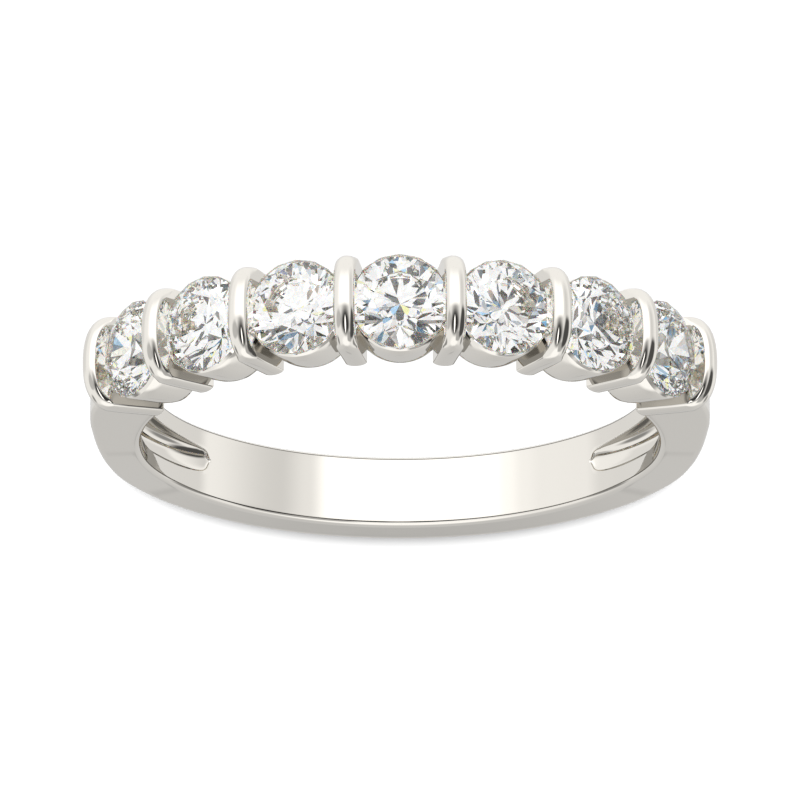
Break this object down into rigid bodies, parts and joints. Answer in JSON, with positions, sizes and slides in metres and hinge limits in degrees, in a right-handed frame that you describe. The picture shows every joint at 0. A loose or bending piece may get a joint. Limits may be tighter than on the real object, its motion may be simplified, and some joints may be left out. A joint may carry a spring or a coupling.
{
  "type": "bar set band",
  "caption": "Polished white metal band ring with a row of round brilliant stones, each held between arched bars over a round cup, on a plain tapering shank.",
  "frame": {"origin": "under the middle of the whole ring's box, on the surface that the ring lies on", "axes": "+Z along the finger axis, up as the ring lies on its side; -Y out through the middle stone; +Y out through the bottom of the shank"},
  "size_m": [0.0206, 0.0216, 0.0032],
  "materials": {
    "white_gold": "polished white gold",
    "clear_stone": "colourless brilliant cut stone"
  },
  "bodies": {
    "root": {"ring_mount": "white_gold", "stone_1": "clear_stone", "stone_2": "clear_stone", "stone_3": "clear_stone", "stone_4": "clear_stone", "stone_5": "clear_stone", "stone_6": "clear_stone", "stone_7": "clear_stone"}
  },
  "joints": []
}
